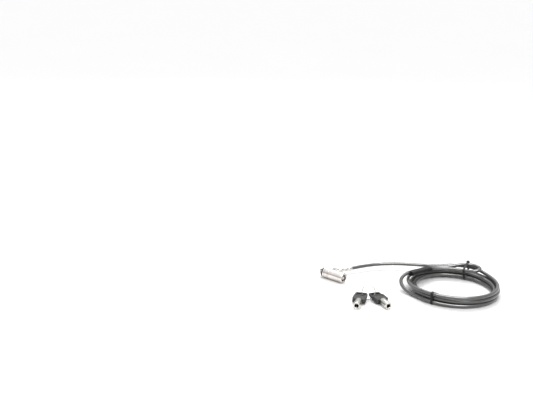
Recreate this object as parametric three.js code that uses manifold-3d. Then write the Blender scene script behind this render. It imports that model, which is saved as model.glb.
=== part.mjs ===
// Laptop cable lock: a keyed T-bar lock head on a swivel, a coiled steel cable with an eye, and two
// tubular keys. Millimetres. The origin is the centre of the locking bar's end face. +X runs along the
// barrel to the key end, +Z is up.
import * as THREE from "three";
import { mergeVertices } from "three/addons/utils/BufferGeometryUtils.js";
import Module from "manifold-3d";

const wasm = await Module();
wasm.setup();

// ---------------------------------------------------------------- driving dimensions

// A place given by its distance out from the coil's outer turn, its azimuth in degrees, and its height.
function aroundCoil(out, azimuth, z) {
  const angle = THREE.MathUtils.degToRad(azimuth);
  const radius = coilOuterTurnRadius + out;
  const x = coilCentreX + radius * Math.cos(angle);
  const y = coilCentreY + radius * Math.sin(angle);
  return new THREE.Vector3(x, y, z);
}

// clearances
const seatGap = 0.3; // between pieces that sit on each other
const turnGap = 0.25; // round a piece that turns or slides in a bore
const overrun = 1; // of a cut past the piece, and of a tang into its shaft

// locking bar, made for the usual 3 x 7 mm lock slot
const barHeadLength = 6.6;
const barHeadWidth = 2.6;
const barHeadThickness = 1.9;
const barShaftRadius = 1.2;
const tangThickness = 0.9;
const tangWidth = 2.2;
const tangLength = 3.6;
const drivePinRadius = 0.4;

// nose: anti-twist plate in a rubber washer
const prongLength = 3.2;
const prongThickness = 1.5;
const plateRadius = 3.7;
const plateThickness = 1.3;
const washerRadius = 6.0;
const washerThickness = 1.6;
const washerEdge = 0.35;

// barrel
const barrelRadius = 6.5;
const barrelLength = 30;
const noseWall = 12;
const noseChamfer = 0.8;
const endBevelLength = 1.3;
const endBevelDepth = 0.75;
const coreBoreRadius = 5.5;
const grooveSetback = 3.2;
const grooveRadius = 4.7;

// core
const rotorShaftRadius = 1.6;
const rotorShaftReach = 4.7; // of the rotor's shaft past the core bore, into the nose
const flangeThickness = 3;
const sleeveLength = 9.4;
const postRadius = 2.1;
const postSetback = 0.7;
const postGrooveWidth = 1.3;
const postGrooveDepth = 0.8;
const keywayRadius = 4.4;
const faceRingSetback = 0.2;
const notchWidth = 1.7;
const notchDepth = 0.55;
const retainingPinRadius = 0.65;
const retainingPinLength = 1.65;
const retainingPinSetback = 4.4; // behind the sleeve's rear face

// pin stacks
const pinRadius = 0.55;
const chamberRadius = 0.8;
const pinCircleRadius = 3.25;
const chamberDepth = 8.2;
const keyPinBaseLength = 3.2;
const bitting = [0.3, 1.1, 0.6, 1.3, 0.2, 0.9, 0.5]; // what each key pin stands out by, past its base length
const driverPinLength = 2.8;
const springRadius = 0.48;
const springWireRadius = 0.14;
const springCurls = 4;

// swivel collar and cable terminal
const collarWidth = 5.2;
const earThickness = 1.6;
const tongueThickness = 2.4;
const pivotReach = 12.8; // from the barrel's axis
const pivotPinRadius = 0.95;
const pivotHeadRadius = 1.6;
const pivotHeadThickness = 0.5;
const terminalHeading = 68; // degrees from +X, as it lies
const terminalLength = 24.4;
const ferruleStart = 5.2;
const ferruleRadius = 2.9;
const ferruleMouthRadius = 2.6;
const crimpDepth = 0.35;
const crimpWidth = 3.2;

// cable
const cableRadius = 2.2;
const coilPitch = 4.9; // between neighbouring turns, beside and above each other
const coilOuterTurnRadius = 53.5;
const coilCentreX = 147.1;
const coilCentreY = 72.3;
const coilCentre = new THREE.Vector2(coilCentreX, coilCentreY);
const coilStartAzimuth = 118; // where the lead joins, degrees
const coilEndAzimuth = 254; // where the tail leaves
const coilTurnsBetween = 5; // whole turns added to reach it, clockwise
const topRunSweep = 218; // of the run that lies on top of the two layers, before it goes down
// the top run's course: [degrees from the coil's start, millimetres out from the outer turn, millimetres up]
const topRunCourse = [
  [0, 3.5, 0.3],
  [16, 4.9, 0.5],
  [24, 4.5, 0.4],
  [32, 3.1, 0.2],
  [42, 0.7, 0],
  [52, -1.1, 0],
  [66, -1.9, 0],
  [90, -1.9, 0],
  [130, -1.2, 0],
  [180, -0.3, 0],
  [topRunSweep, 0, 0],
];
const coilSides = 6;
const coilSteps = 24; // a turn
const cableSides = 10;

// eye sleeve
const sleeveHalfHeight = 2.8;
const sleeveHalfWidth = 4.95;
const strandSpacing = 4.9;
const sleeveStartOut = -1.85; // from the coil's outer turn
const sleeveStartZ = 9.9;
const sleeveEndOut = -7.54;
const sleeveEndZ = 6.9;
const sleeveStart = aroundCoil(sleeveStartOut, 206.32, sleeveStartZ);
const sleeveEnd = aroundCoil(sleeveEndOut, 160.03, sleeveEndZ);

// ties
const tieThickness = 0.5;
const tieWidth = 2.6;
const tieHeadLength = 3.4;
const tieHeadHeight = 1.6;
const tieHeadWidth = 4.2;
const tieTailLength = 1.5;
const tieAzimuths = { tie_front: 274, tie_rear: 102 };
const tieHeadAngles = { tie_front: 146, tie_rear: 58 }; // round the bundle, from outwards to up

// keys and split ring
const keyRearWidth = 14.4;
const keyFrontWidth = 15.8;
const keyHeadLength = 24;
const keyHeadThickness = 5.6;
const keyCornerRadius = 3;
const webThickness = 2.8;
const webLength = 9.4;
const webEdge = 0.3;
const gripEdge = 0.5;
const ringSlotStart = 2.1;
const ringSlotLength = 5.8;
const ringSlotWidth = 11;
const panelMargin = 2.2;
const panelDepth = 0.5;
const panelReach = 1; // of the panel over the tang
const shankRadius = 4.2;
const shankLength = 15;
const shankEdge = 0.4;
const keyBoreRadius = 2.4;
const keyBoreDepth = 11;
const lugWidth = 1.2;
const lugHeight = 0.5;
const lugLength = 1.6;
const shankTangWidth = 6;
const shankTangThickness = 2.2;
const shankTangLength = 8;
const splitRingRadius = 7.75;
const splitRingWireRadius = 0.45;
const splitRingPitch = 1.35;
const splitRingTurns = 2;
const splitRingSteps = 30; // a turn
const splitRingLean = 14; // degrees, back from upright
const ringCentreX = 88.9; // between the two keys' slots
const ringCentreY = -20;
const ringCentre = new THREE.Vector2(ringCentreX, ringCentreY);
const ringHeading = 44; // of the line through the two slots
const ringFootSpacing = 12.6;
const keyHeadings = { key_1: -62.6, key_2: -29 };
const keyRingSides = { key_1: -1, key_2: 1 }; // which side of the ring's centre the key lies on
const keySideGap = 3; // between the two heads, measured on the line through the slots

// ---------------------------------------------------------------- dependent places along the barrel

const deskZ = -barrelRadius;
const prongTipX = barHeadThickness + seatGap;
const washerFaceX = prongTipX + prongLength;
const noseX = washerFaceX + washerThickness + seatGap;
const barrelEndX = noseX + barrelLength;
const grooveStartX = noseX + grooveSetback;
const grooveWidth = collarWidth + 2 * seatGap;
const grooveEndX = grooveStartX + grooveWidth;
const collarX = (grooveStartX + grooveEndX) / 2;
const coreBoreX = noseX + noseWall;
const sleeveRearX = coreBoreX + seatGap;
const sleeveFrontX = sleeveRearX + sleeveLength;
const shearX = sleeveFrontX + seatGap / 2;
const flangeRearX = sleeveFrontX + seatGap;
const flangeFrontX = flangeRearX + flangeThickness;
const faceRingRearX = flangeFrontX + seatGap;
const faceRingFrontX = barrelEndX - faceRingSetback;
const postFrontX = barrelEndX - postSetback;
const rotorShaftX = coreBoreX - rotorShaftReach;
const coreRadius = coreBoreRadius - turnGap;
const shaftBoreRadius = rotorShaftRadius + turnGap;
const chamberFloorX = sleeveFrontX - chamberDepth;
const keyPinRearX = shearX + seatGap / 2;
const driverFrontX = shearX - seatGap / 2;
const earGap = tongueThickness + 2 * seatGap;
const pinCount = bitting.length;

const degrees = THREE.MathUtils.degToRad;

// ---------------------------------------------------------------- materials

const material = (color, roughness, metalness) =>
  new THREE.MeshStandardMaterial({ color, roughness, metalness });
const chrome = material(0xdedad6, 0.16, 1);
const steel = material(0xb9babb, 0.35, 1);
const brass = material(0xb9975a, 0.35, 1);
const springSteel = material(0x9a9ca0, 0.3, 1);
const nickel = material(0xd3d0c6, 0.25, 1);
const rubber = material(0x1d1b1c, 0.85, 0);
const cableSkin = material(0x77787a, 0.38, 0);
const sleeveSkin = material(0x303133, 0.5, 0);
const tieSkin = material(0x1b1b1d, 0.55, 0);
const keyPlastic = material(0x3b3b3c, 0.5, 0);

// ---------------------------------------------------------------- shape helpers

function solid(geometry) {
  geometry.deleteAttribute("normal");
  geometry.deleteAttribute("uv");
  const merged = mergeVertices(geometry, 1e-4);
  const mesh = new wasm.Mesh({
    numProp: 3,
    vertProperties: merged.attributes.position.array,
    triVerts: new Uint32Array(merged.index.array),
  });
  return new wasm.Manifold(mesh);
}

function geometryOf(manifold) {
  const { vertProperties, triVerts } = manifold.getMesh();
  const geometry = new THREE.BufferGeometry();
  geometry.setAttribute("position", new THREE.BufferAttribute(vertProperties, 3));
  geometry.setIndex(new THREE.BufferAttribute(triVerts, 1));
  geometry.computeVertexNormals();
  return geometry;
}

// A solid of revolution round the X axis, from [x, radius] pairs. A profile that leaves the axis is closed.
function turned(profile, segments = 48) {
  const points = profile.map(([x, radius]) => new THREE.Vector2(radius, x));
  if (profile[0][1] > 0) points.push(points[0].clone());
  if (THREE.ShapeUtils.area(points) < 0) points.reverse();
  const geometry = new THREE.LatheGeometry(points, segments);
  geometry.rotateZ(-Math.PI / 2);
  return solid(geometry);
}

function rodX(x0, x1, radius, y = 0, z = 0, segments = 16) {
  const geometry = new THREE.CylinderGeometry(radius, radius, x1 - x0, segments);
  geometry.rotateZ(-Math.PI / 2);
  geometry.translate((x0 + x1) / 2, y, z);
  return solid(geometry);
}

function rodY(y0, y1, radius, x, z = 0, segments = 16) {
  const geometry = new THREE.CylinderGeometry(radius, radius, y1 - y0, segments);
  geometry.translate(x, (y0 + y1) / 2, z);
  return solid(geometry);
}

function rodZ(z0, z1, radius, x, y = 0, segments = 16) {
  const geometry = new THREE.CylinderGeometry(radius, radius, z1 - z0, segments);
  geometry.rotateX(Math.PI / 2);
  geometry.translate(x, y, (z0 + z1) / 2);
  return solid(geometry);
}

function box(x0, x1, y0, y1, z0, z1) {
  const geometry = new THREE.BoxGeometry(x1 - x0, y1 - y0, z1 - z0);
  geometry.translate((x0 + x1) / 2, (y0 + y1) / 2, (z0 + z1) / 2);
  return solid(geometry);
}

// An outline in the XY plane, extruded from z0 to z1.
function plate(shape, z0, z1, bevel = 0) {
  const geometry = new THREE.ExtrudeGeometry(shape, {
    depth: z1 - z0 - 2 * bevel,
    curveSegments: 6,
    bevelEnabled: bevel > 0,
    bevelSize: bevel,
    bevelOffset: -bevel,
    bevelThickness: bevel,
    bevelSegments: 1,
  });
  geometry.translate(0, 0, z0 + bevel);
  return solid(geometry);
}

const union = (first, ...rest) => rest.reduce((whole, piece) => whole.add(piece), first);
const cut = (body, ...tools) => tools.reduce((left, tool) => left.subtract(tool), body);

function named(name, geometry, skin) {
  const mesh = new THREE.Mesh(geometry.isBufferGeometry ? geometry : geometryOf(geometry), skin);
  mesh.name = name;
  return mesh;
}

// One closed tube through the centres, with flat ends. Its section keeps a corner along the given side.
function tube(centres, radius, sides, side) {
  const last = centres.length - 1;
  const positions = [];
  const indices = [];
  centres.forEach((centre, i) => {
    const along = centres[Math.min(i + 1, last)].clone().sub(centres[Math.max(i - 1, 0)]).normalize();
    const across = side.clone().addScaledVector(along, -side.dot(along)).normalize();
    const third = along.clone().cross(across);
    for (let k = 0; k < sides; k++) {
      const turn = (2 * Math.PI * k) / sides;
      const point = centre.clone();
      point.addScaledVector(across, radius * Math.cos(turn));
      point.addScaledVector(third, radius * Math.sin(turn));
      positions.push(...point.toArray());
    }
  });
  for (let i = 0; i < last; i++) {
    for (let k = 0; k < sides; k++) {
      const next = (k + 1) % sides;
      const [a, b, c, d] = [i * sides + k, i * sides + next, (i + 1) * sides + next, (i + 1) * sides + k];
      indices.push(a, b, c, a, c, d);
    }
  }
  for (let k = 1; k < sides - 1; k++) {
    indices.push(0, k + 1, k);
    indices.push(last * sides, last * sides + k, last * sides + k + 1);
  }
  const geometry = new THREE.BufferGeometry();
  geometry.setAttribute("position", new THREE.Float32BufferAttribute(positions, 3));
  geometry.setIndex(indices);
  geometry.computeVertexNormals();
  return geometry;
}

// A free stretch of cable: a round section carried along a smooth curve through hand-chosen points.
function freeCable(points, steps) {
  const ring = [];
  for (let k = 0; k < cableSides; k++) {
    const turn = (2 * Math.PI * k) / cableSides;
    ring.push(new THREE.Vector2(cableRadius * Math.cos(turn), cableRadius * Math.sin(turn)));
  }
  const extrudePath = new THREE.CatmullRomCurve3(points, false, "centripetal");
  return new THREE.ExtrudeGeometry(new THREE.Shape(ring), { steps, extrudePath, bevelEnabled: false });
}

// The least gap of a wound tube to itself, measured between centres more than half a turn apart.
function leastGapToItself(centres, radius, stepsPerTurn) {
  let least = Infinity;
  for (let i = 0; i < centres.length; i++) {
    for (let j = i + Math.round(stepsPerTurn / 2); j < centres.length - 1; j++) {
      const stretch = new THREE.Line3(centres[j], centres[j + 1]);
      const nearest = stretch.closestPointToPoint(centres[i], true, new THREE.Vector3());
      least = Math.min(least, nearest.distanceTo(centres[i]) - 2 * radius);
    }
  }
  return least;
}

// ---------------------------------------------------------------- lock head

function lockingBar() {
  const [headY, headZ] = [barHeadWidth / 2, barHeadLength / 2];
  const head = box(0, barHeadThickness, -headY, headY, -headZ, headZ);
  const roundEnds = rodX(0, barHeadThickness, headZ, 0, 0, 48);
  const shaft = rodX(barHeadThickness / 2, rotorShaftX - seatGap, barShaftRadius, 0, 0, 24);
  const tangEndX = rotorShaftX - seatGap + tangLength;
  const [tangY, tangZ] = [tangThickness / 2, tangWidth / 2];
  const tang = box(rotorShaftX - overrun, tangEndX, -tangY, tangY, -tangZ, tangZ);
  const hole = rodY(-tangThickness, tangThickness, drivePinRadius + turnGap, drivePinX());
  return cut(union(head.intersect(roundEnds), shaft, tang), hole);
}

const drivePinX = () => rotorShaftX + tangLength / 2;

function antiTwistPlate() {
  const rearX = noseX - seatGap;
  const disc = turned([
    [rearX - plateThickness, barShaftRadius + turnGap],
    [rearX - plateThickness, plateRadius],
    [rearX, plateRadius],
    [rearX, barShaftRadius + turnGap],
  ]);
  const prongs = [-1, 1].map((side) => {
    const outer = side * (barHeadLength / 2);
    const inner = side * (barHeadLength / 2 - prongThickness);
    const [low, high] = [Math.min(outer, inner), Math.max(outer, inner)];
    return box(prongTipX, rearX - plateThickness / 2, low, high, -barHeadWidth / 2, barHeadWidth / 2);
  });
  return union(disc, ...prongs);
}

function noseWasher() {
  const holeRadius = plateRadius + seatGap;
  const rearX = washerFaceX + washerThickness;
  return turned([
    [washerFaceX, holeRadius],
    [washerFaceX, washerRadius - washerEdge],
    [washerFaceX + washerEdge, washerRadius],
    [rearX, washerRadius],
    [rearX, holeRadius],
  ]);
}

function barrel() {
  const shell = turned(
    [
      [noseX, shaftBoreRadius],
      [noseX, barrelRadius - noseChamfer],
      [noseX + noseChamfer, barrelRadius],
      [grooveStartX, barrelRadius],
      [grooveStartX, grooveRadius],
      [grooveEndX, grooveRadius],
      [grooveEndX, barrelRadius],
      [barrelEndX - endBevelLength, barrelRadius],
      [barrelEndX - endBevelLength / 3, barrelRadius - endBevelDepth / 2],
      [barrelEndX, barrelRadius - endBevelDepth],
      [barrelEndX, coreBoreRadius],
      [coreBoreX, coreBoreRadius],
      [coreBoreX, shaftBoreRadius],
    ],
    48,
  );
  const holeTop = overrun - coreRadius;
  const hole = rodZ(-2 * barrelRadius, holeTop, retainingPinRadius + turnGap, retainingPinX());
  return cut(shell, hole);
}

const retainingPinX = () => sleeveRearX + retainingPinSetback;

function retainingPin() {
  const top = -barrelRadius + seatGap + retainingPinLength;
  return rodZ(-barrelRadius + seatGap, top, retainingPinRadius, retainingPinX());
}

// Calls make(y, z) for the place of each pin stack on its circle.
function onPinCircle(make) {
  return bitting.map((standOut, i) => {
    const turn = degrees(90) + (2 * Math.PI * i) / pinCount;
    return make(pinCircleRadius * Math.cos(turn), pinCircleRadius * Math.sin(turn), i);
  });
}

function pinSleeve() {
  const body = turned([
    [sleeveRearX, shaftBoreRadius],
    [sleeveRearX, coreRadius],
    [sleeveFrontX, coreRadius],
    [sleeveFrontX, shaftBoreRadius],
  ]);
  const chambers = onPinCircle((y, z) =>
    rodX(chamberFloorX, sleeveFrontX + overrun, chamberRadius, y, z, 12),
  );
  const seatTop = -barrelRadius + 2 * seatGap + retainingPinLength;
  const seat = rodZ(-2 * coreRadius, seatTop, retainingPinRadius + turnGap, retainingPinX());
  return cut(body, ...chambers, seat);
}

function rotor() {
  const body = turned([
    [rotorShaftX, 0],
    [rotorShaftX, rotorShaftRadius],
    [flangeRearX, rotorShaftRadius],
    [flangeRearX, coreRadius],
    [flangeFrontX, coreRadius],
    [flangeFrontX, postRadius],
    [postFrontX - seatGap, postRadius],
    [postFrontX, postRadius - seatGap],
    [postFrontX, 0],
  ]);
  const slotHalf = tangThickness / 2 + seatGap;
  const slotFloorX = rotorShaftX + tangLength;
  const slotReach = rotorShaftRadius + overrun;
  const slot = box(rotorShaftX - overrun, slotFloorX, -slotHalf, slotHalf, -slotReach, slotReach);
  const pinHole = rodY(-2 * rotorShaftRadius, 2 * rotorShaftRadius, drivePinRadius + turnGap, drivePinX());
  const half = postGrooveWidth / 2;
  const grooveFloor = postRadius - postGrooveDepth;
  const groove = box(flangeFrontX + overrun, barrelEndX, -half, half, grooveFloor, 2 * postRadius);
  const holes = onPinCircle((y, z) =>
    rodX(flangeRearX - overrun, flangeFrontX + overrun, chamberRadius, y, z, 12),
  );
  return cut(body, slot, pinHole, groove, ...holes);
}

function drivePin() {
  const reach = rotorShaftRadius - turnGap / 2;
  return rodY(-reach, reach, drivePinRadius, drivePinX(), 0, 12);
}

function faceRing() {
  const ring = turned([
    [faceRingRearX, keywayRadius],
    [faceRingRearX, coreRadius],
    [faceRingFrontX, coreRadius],
    [faceRingFrontX, keywayRadius],
  ]);
  const half = notchWidth / 2;
  const notch = box(faceRingRearX - overrun, barrelEndX, -half, half, 0, keywayRadius + notchDepth);
  return cut(ring, notch);
}

const keyPinFrontX = (i) => keyPinRearX + keyPinBaseLength + bitting[i];
const keyPin = (y, z, i) => rodX(keyPinRearX, keyPinFrontX(i), pinRadius, y, z, 12);
const driverPin = (y, z) => rodX(driverFrontX - driverPinLength, driverFrontX, pinRadius, y, z, 12);

// A compression spring of whole curls between the chamber's floor and its driver pin.
function pinSpring(y, z) {
  const stepsPerCurl = 8;
  const rearX = chamberFloorX + seatGap + springWireRadius;
  const frontX = driverFrontX - driverPinLength - seatGap - springWireRadius;
  const steps = springCurls * stepsPerCurl;
  const centres = [];
  for (let i = 0; i <= steps; i++) {
    const turn = (2 * Math.PI * i) / stepsPerCurl;
    const x = rearX + ((frontX - rearX) * i) / steps;
    centres.push(new THREE.Vector3(x, y + springRadius * Math.cos(turn), z + springRadius * Math.sin(turn)));
  }
  return tube(centres, springWireRadius, 5, new THREE.Vector3(1, 0, 0));
}

// A strap round the barrel whose ends stand out as two ears for the pivot pin.
function swivelCollar() {
  const half = collarWidth / 2;
  const band = turned([
    [collarX - half, grooveRadius + turnGap],
    [collarX - half, barrelRadius],
    [collarX + half, barrelRadius],
    [collarX + half, grooveRadius + turnGap],
  ]);
  const outline = new THREE.Shape();
  outline.moveTo(collarX - half, 0);
  outline.lineTo(collarX + half, 0);
  outline.lineTo(collarX + half, pivotReach);
  outline.absarc(collarX, pivotReach, half, 0, Math.PI, false);
  const earsHalf = earGap / 2 + earThickness;
  const ears = plate(outline, -earsHalf, earsHalf);
  const bore = rodX(collarX - collarWidth, collarX + collarWidth, grooveRadius + turnGap, 0, 0, 48);
  const slot = box(collarX - collarWidth, collarX + collarWidth, 0, 2 * pivotReach, -earGap / 2, earGap / 2);
  const hole = rodZ(-2 * earsHalf, 2 * earsHalf, pivotPinRadius + turnGap, collarX, pivotReach, 24);
  return cut(union(band, ears), bore, slot, hole);
}

function pivotPin() {
  const headZ = earGap / 2 + earThickness + seatGap;
  const shank = rodZ(-headZ, headZ, pivotPinRadius, collarX, pivotReach, 24);
  const heads = [headZ, -headZ - pivotHeadThickness].map((low) =>
    rodZ(low, low + pivotHeadThickness, pivotHeadRadius, collarX, pivotReach, 24),
  );
  return union(shank, ...heads);
}

// The cable's terminal lies along its own +X, with the pivot at its origin: a tongue and a crimped ferrule.
function cableTerminal() {
  const half = collarWidth / 2;
  const outline = new THREE.Shape();
  outline.moveTo(ferruleStart + half, half);
  outline.lineTo(0, half);
  outline.absarc(0, 0, half, Math.PI / 2, 1.5 * Math.PI, false);
  outline.lineTo(ferruleStart + half, -half);
  const tongue = plate(outline, -tongueThickness / 2, tongueThickness / 2);
  const crimpStarts = [0.3, 0.62].map((share) => ferruleStart + share * (terminalLength - ferruleStart));
  const profile = [
    [ferruleStart, 0],
    [ferruleStart, ferruleRadius / 2],
    [ferruleStart + ferruleRadius / 2, ferruleRadius],
  ];
  for (const start of crimpStarts) {
    const end = start + crimpWidth;
    const waist = ferruleRadius - crimpDepth;
    profile.push([start, ferruleRadius], [start + crimpDepth, waist]);
    profile.push([end - crimpDepth, waist], [end, ferruleRadius]);
  }
  profile.push([terminalLength - (ferruleRadius - ferruleMouthRadius), ferruleRadius]);
  profile.push([terminalLength, ferruleMouthRadius], [terminalLength, 0]);
  const hole = rodZ(-ferruleRadius, ferruleRadius, pivotPinRadius + turnGap, 0, 0, 24);
  return cut(union(tongue, turned(profile, 24)), hole);
}

// ---------------------------------------------------------------- cable

// The coil lies in two layers with one run on top. From the lead, the top run goes round the back and
// the front, then down to the upper layer in half a turn. The upper layer spirals in at a steady rate,
// the cable goes down a layer in the half turn where the spiral reverses, and the lower layer spirals
// out to the tail.
const lowerLayerZ = deskZ + tieThickness + seatGap + cableRadius;
const upperLayerZ = lowerLayerZ + coilPitch;
const topRunZ = upperLayerZ + coilPitch;
const coilSweep = coilStartAzimuth - coilEndAzimuth + 360 * coilTurnsBetween;
const climbSweep = 180;
const layerSweep = (coilSweep - topRunSweep - 2 * climbSweep) / 2;
const innerTurnRadius = coilOuterTurnRadius - (coilPitch * layerSweep) / 360;
const upperLayerStart = topRunSweep + climbSweep;
const upperLayerEnd = upperLayerStart + layerSweep;
const lowerLayerStart = upperLayerEnd + climbSweep;
// one diameter of the cable, in degrees round the outer turn
const coilEndStretch = THREE.MathUtils.radToDeg((2 * cableRadius) / coilOuterTurnRadius);

const topRun = new THREE.CubicInterpolant(
  topRunCourse.map(([sweep]) => sweep),
  topRunCourse.flatMap(([, out, rise]) => [out, rise]),
  2,
);

function coilRadius(sweep) {
  if (sweep <= topRunSweep) return coilOuterTurnRadius + topRun.evaluate(sweep)[0];
  if (sweep < upperLayerStart) {
    const share = (sweep - topRunSweep) / climbSweep;
    return coilOuterTurnRadius + (coilPitch / 2) * (share - share * share);
  }
  if (sweep <= upperLayerEnd) return coilOuterTurnRadius - (coilPitch * (sweep - upperLayerStart)) / 360;
  if (sweep < lowerLayerStart) {
    const share = (sweep - upperLayerEnd) / climbSweep;
    return innerTurnRadius - (coilPitch / 2) * (share - share * share);
  }
  return innerTurnRadius + (coilPitch * (sweep - lowerLayerStart)) / 360;
}

function coilHeight(sweep) {
  if (sweep <= topRunSweep) return topRunZ + topRun.evaluate(sweep)[1];
  if (sweep < upperLayerStart) return topRunZ - (coilPitch * (sweep - topRunSweep)) / climbSweep;
  if (sweep <= upperLayerEnd) return upperLayerZ;
  if (sweep < lowerLayerStart) return upperLayerZ - (coilPitch * (sweep - upperLayerEnd)) / climbSweep;
  return lowerLayerZ;
}

function coilPoint(sweep) {
  const azimuth = degrees(coilStartAzimuth - sweep);
  const radius = coilRadius(sweep);
  const x = coilCentre.x + radius * Math.cos(azimuth);
  const y = coilCentre.y + radius * Math.sin(azimuth);
  return new THREE.Vector3(x, y, coilHeight(sweep));
}

// Neighbouring turns bend at the same azimuths, and the tube's two ends are straight for one diameter.
function coilCentres() {
  const step = 360 / coilSteps;
  const centres = [coilPoint(0), coilPoint(coilEndStretch)];
  const stop = coilSweep - coilEndStretch - step / 4;
  for (let sweep = step; sweep < stop; sweep += step) centres.push(coilPoint(sweep));
  centres.push(coilPoint(coilSweep - coilEndStretch), coilPoint(coilSweep));
  return centres;
}

const coil = coilCentres();
const intoCoil = coil[1].clone().sub(coil[0]).normalize();
const outOfCoil = coil.at(-1).clone().sub(coil.at(-2)).normalize();

const terminalTurn = degrees(terminalHeading);
const terminalAway = new THREE.Vector3(Math.cos(terminalTurn), Math.sin(terminalTurn), 0);
const pivotPoint = new THREE.Vector3(collarX, pivotReach, 0);

// The lead's course from the terminal to the coil:
// [share of the way ahead, share of the way to the left, share of the rise]
const leadCourse = [
  [0.0808, 0.0443, 0.015],
  [0.174, 0.0865, 0.031],
  [0.2915, 0.1187, 0.061],
  [0.4317, 0.1291, 0.123],
  [0.5692, 0.1134, 0.2],
  [0.6997, 0.0797, 0.31],
  [0.8181, 0.0444, 0.52],
  [0.9215, 0.0198, 0.78],
];

// From the terminal's mouth, in a low arc held at both ends, to the coil's top run.
function leadRoute() {
  const exit = pivotPoint.clone().addScaledVector(terminalAway, terminalLength + seatGap);
  const start = exit.clone().addScaledVector(terminalAway, 2 * cableRadius);
  const end = coil[0].clone().addScaledVector(intoCoil, -2 * cableRadius - seatGap);
  const way = end.clone().sub(start);
  const bends = leadCourse.map(
    ([ahead, aside, rise]) =>
      new THREE.Vector3(
        start.x + ahead * way.x - aside * way.y,
        start.y + ahead * way.y + aside * way.x,
        start.z + rise * way.z,
      ),
  );
  return [exit, start, ...bends, end, coil[0].clone().addScaledVector(intoCoil, -seatGap)];
}

const sleeveAlong = sleeveEnd.clone().sub(sleeveStart).normalize();
const sleeveAcross = new THREE.Vector3(-sleeveAlong.y, sleeveAlong.x, 0).normalize();
const strandAt = (end, side, away) =>
  end.clone().addScaledVector(sleeveAcross, (side * strandSpacing) / 2).addScaledVector(sleeveAlong, away);

// The tail's course: [millimetres out from the outer turn, azimuth, height]
const tailCourse = [
  [1.5, 242.4, -3.4],
  [3.9, 235.6, -2.7],
  [6.7, 229.4, -1.1],
  [8.9, 223.7, 1.5],
  [9.3, 218.6, 4.6],
  [7.2, 213.8, 7.7],
];

// From the coil's lower layer, out past its left side and up into the sleeve that lies on top.
function tailRoute() {
  return [
    coil.at(-1).clone().addScaledVector(outOfCoil, seatGap),
    coil.at(-1).clone().addScaledVector(outOfCoil, 2 * cableRadius + seatGap),
    ...tailCourse.map((bend) => aroundCoil(...bend)),
    strandAt(sleeveStart, 1, -2 * cableRadius - seatGap),
    strandAt(sleeveStart, 1, -seatGap),
  ];
}

// The eye: out of the sleeve on the coil's outer side, round, and back into the sleeve on the inner
// side. Its tip leans on the top run.
// Its course: [millimetres out from the outer turn, azimuth, millimetres up from the top run's height]
const eyeCourse = [
  [-4.6, 144, 0],
  [-4.8, 134, 0.2],
  [-4.5, 124, 1.1],
  [-3.1, 115, 2.9],
  [-0.7, 107, 4.5],
  [1.1, 100, 5],
  [1.7, 93, 5],
  [0.4, 86, 4.8],
  [-3.2, 80.5, 4.5],
  [-7.9, 79.5, 3.9],
  [-11.7, 83, 2.9],
  [-12.9, 90, 1.7],
  [-12.3, 98, 0.7],
  [-11.3, 107, 0.2],
  [-10.5, 117, 0],
  [-9.9, 128, 0],
  [-9.5, 137, 0],
  [-9.4, 146, 0],
];

function eyeRoute() {
  return [
    strandAt(sleeveEnd, 1, seatGap),
    strandAt(sleeveEnd, 1, 2 * cableRadius + seatGap),
    ...eyeCourse.map(([out, azimuth, rise]) => aroundCoil(out, azimuth, topRunZ + rise)),
    strandAt(sleeveEnd, -1, 2 * cableRadius + seatGap),
    strandAt(sleeveEnd, -1, seatGap),
  ];
}

function eyeSleeve() {
  const straight = sleeveHalfWidth - sleeveHalfHeight;
  const outline = new THREE.Shape();
  outline.absarc(straight, 0, sleeveHalfHeight, -Math.PI / 2, Math.PI / 2, false);
  outline.absarc(-straight, 0, sleeveHalfHeight, Math.PI / 2, 1.5 * Math.PI, false);
  const depth = sleeveEnd.distanceTo(sleeveStart);
  const geometry = new THREE.ExtrudeGeometry(outline, { depth, bevelEnabled: false, curveSegments: 10 });
  const up = sleeveAlong.clone().cross(sleeveAcross).negate();
  const frame = new THREE.Matrix4().makeBasis(sleeveAcross.clone().negate(), up, sleeveAlong);
  geometry.applyMatrix4(frame.setPosition(sleeveStart));
  return geometry;
}

// ---------------------------------------------------------------- ties

// Where a line of centres crosses the upright plane at an azimuth, moved by an offset, as [radius, z] pairs.
function crossings(points, azimuth, offset) {
  const outward = new THREE.Vector3(Math.cos(degrees(azimuth)), Math.sin(degrees(azimuth)), 0);
  const local = points.map((point) => {
    const arm = point.clone().sub(new THREE.Vector3(coilCentre.x, coilCentre.y, 0));
    return { reach: arm.dot(outward), aside: arm.cross(outward).z - offset, z: point.z };
  });
  const found = [];
  for (let i = 1; i < local.length; i++) {
    const [from, to] = [local[i - 1], local[i]];
    if (from.aside * to.aside > 0 || from.reach < 0) continue;
    const share = from.aside / (from.aside - to.aside);
    found.push([from.reach + share * (to.reach - from.reach), from.z + share * (to.z - from.z)]);
  }
  return found;
}

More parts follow.
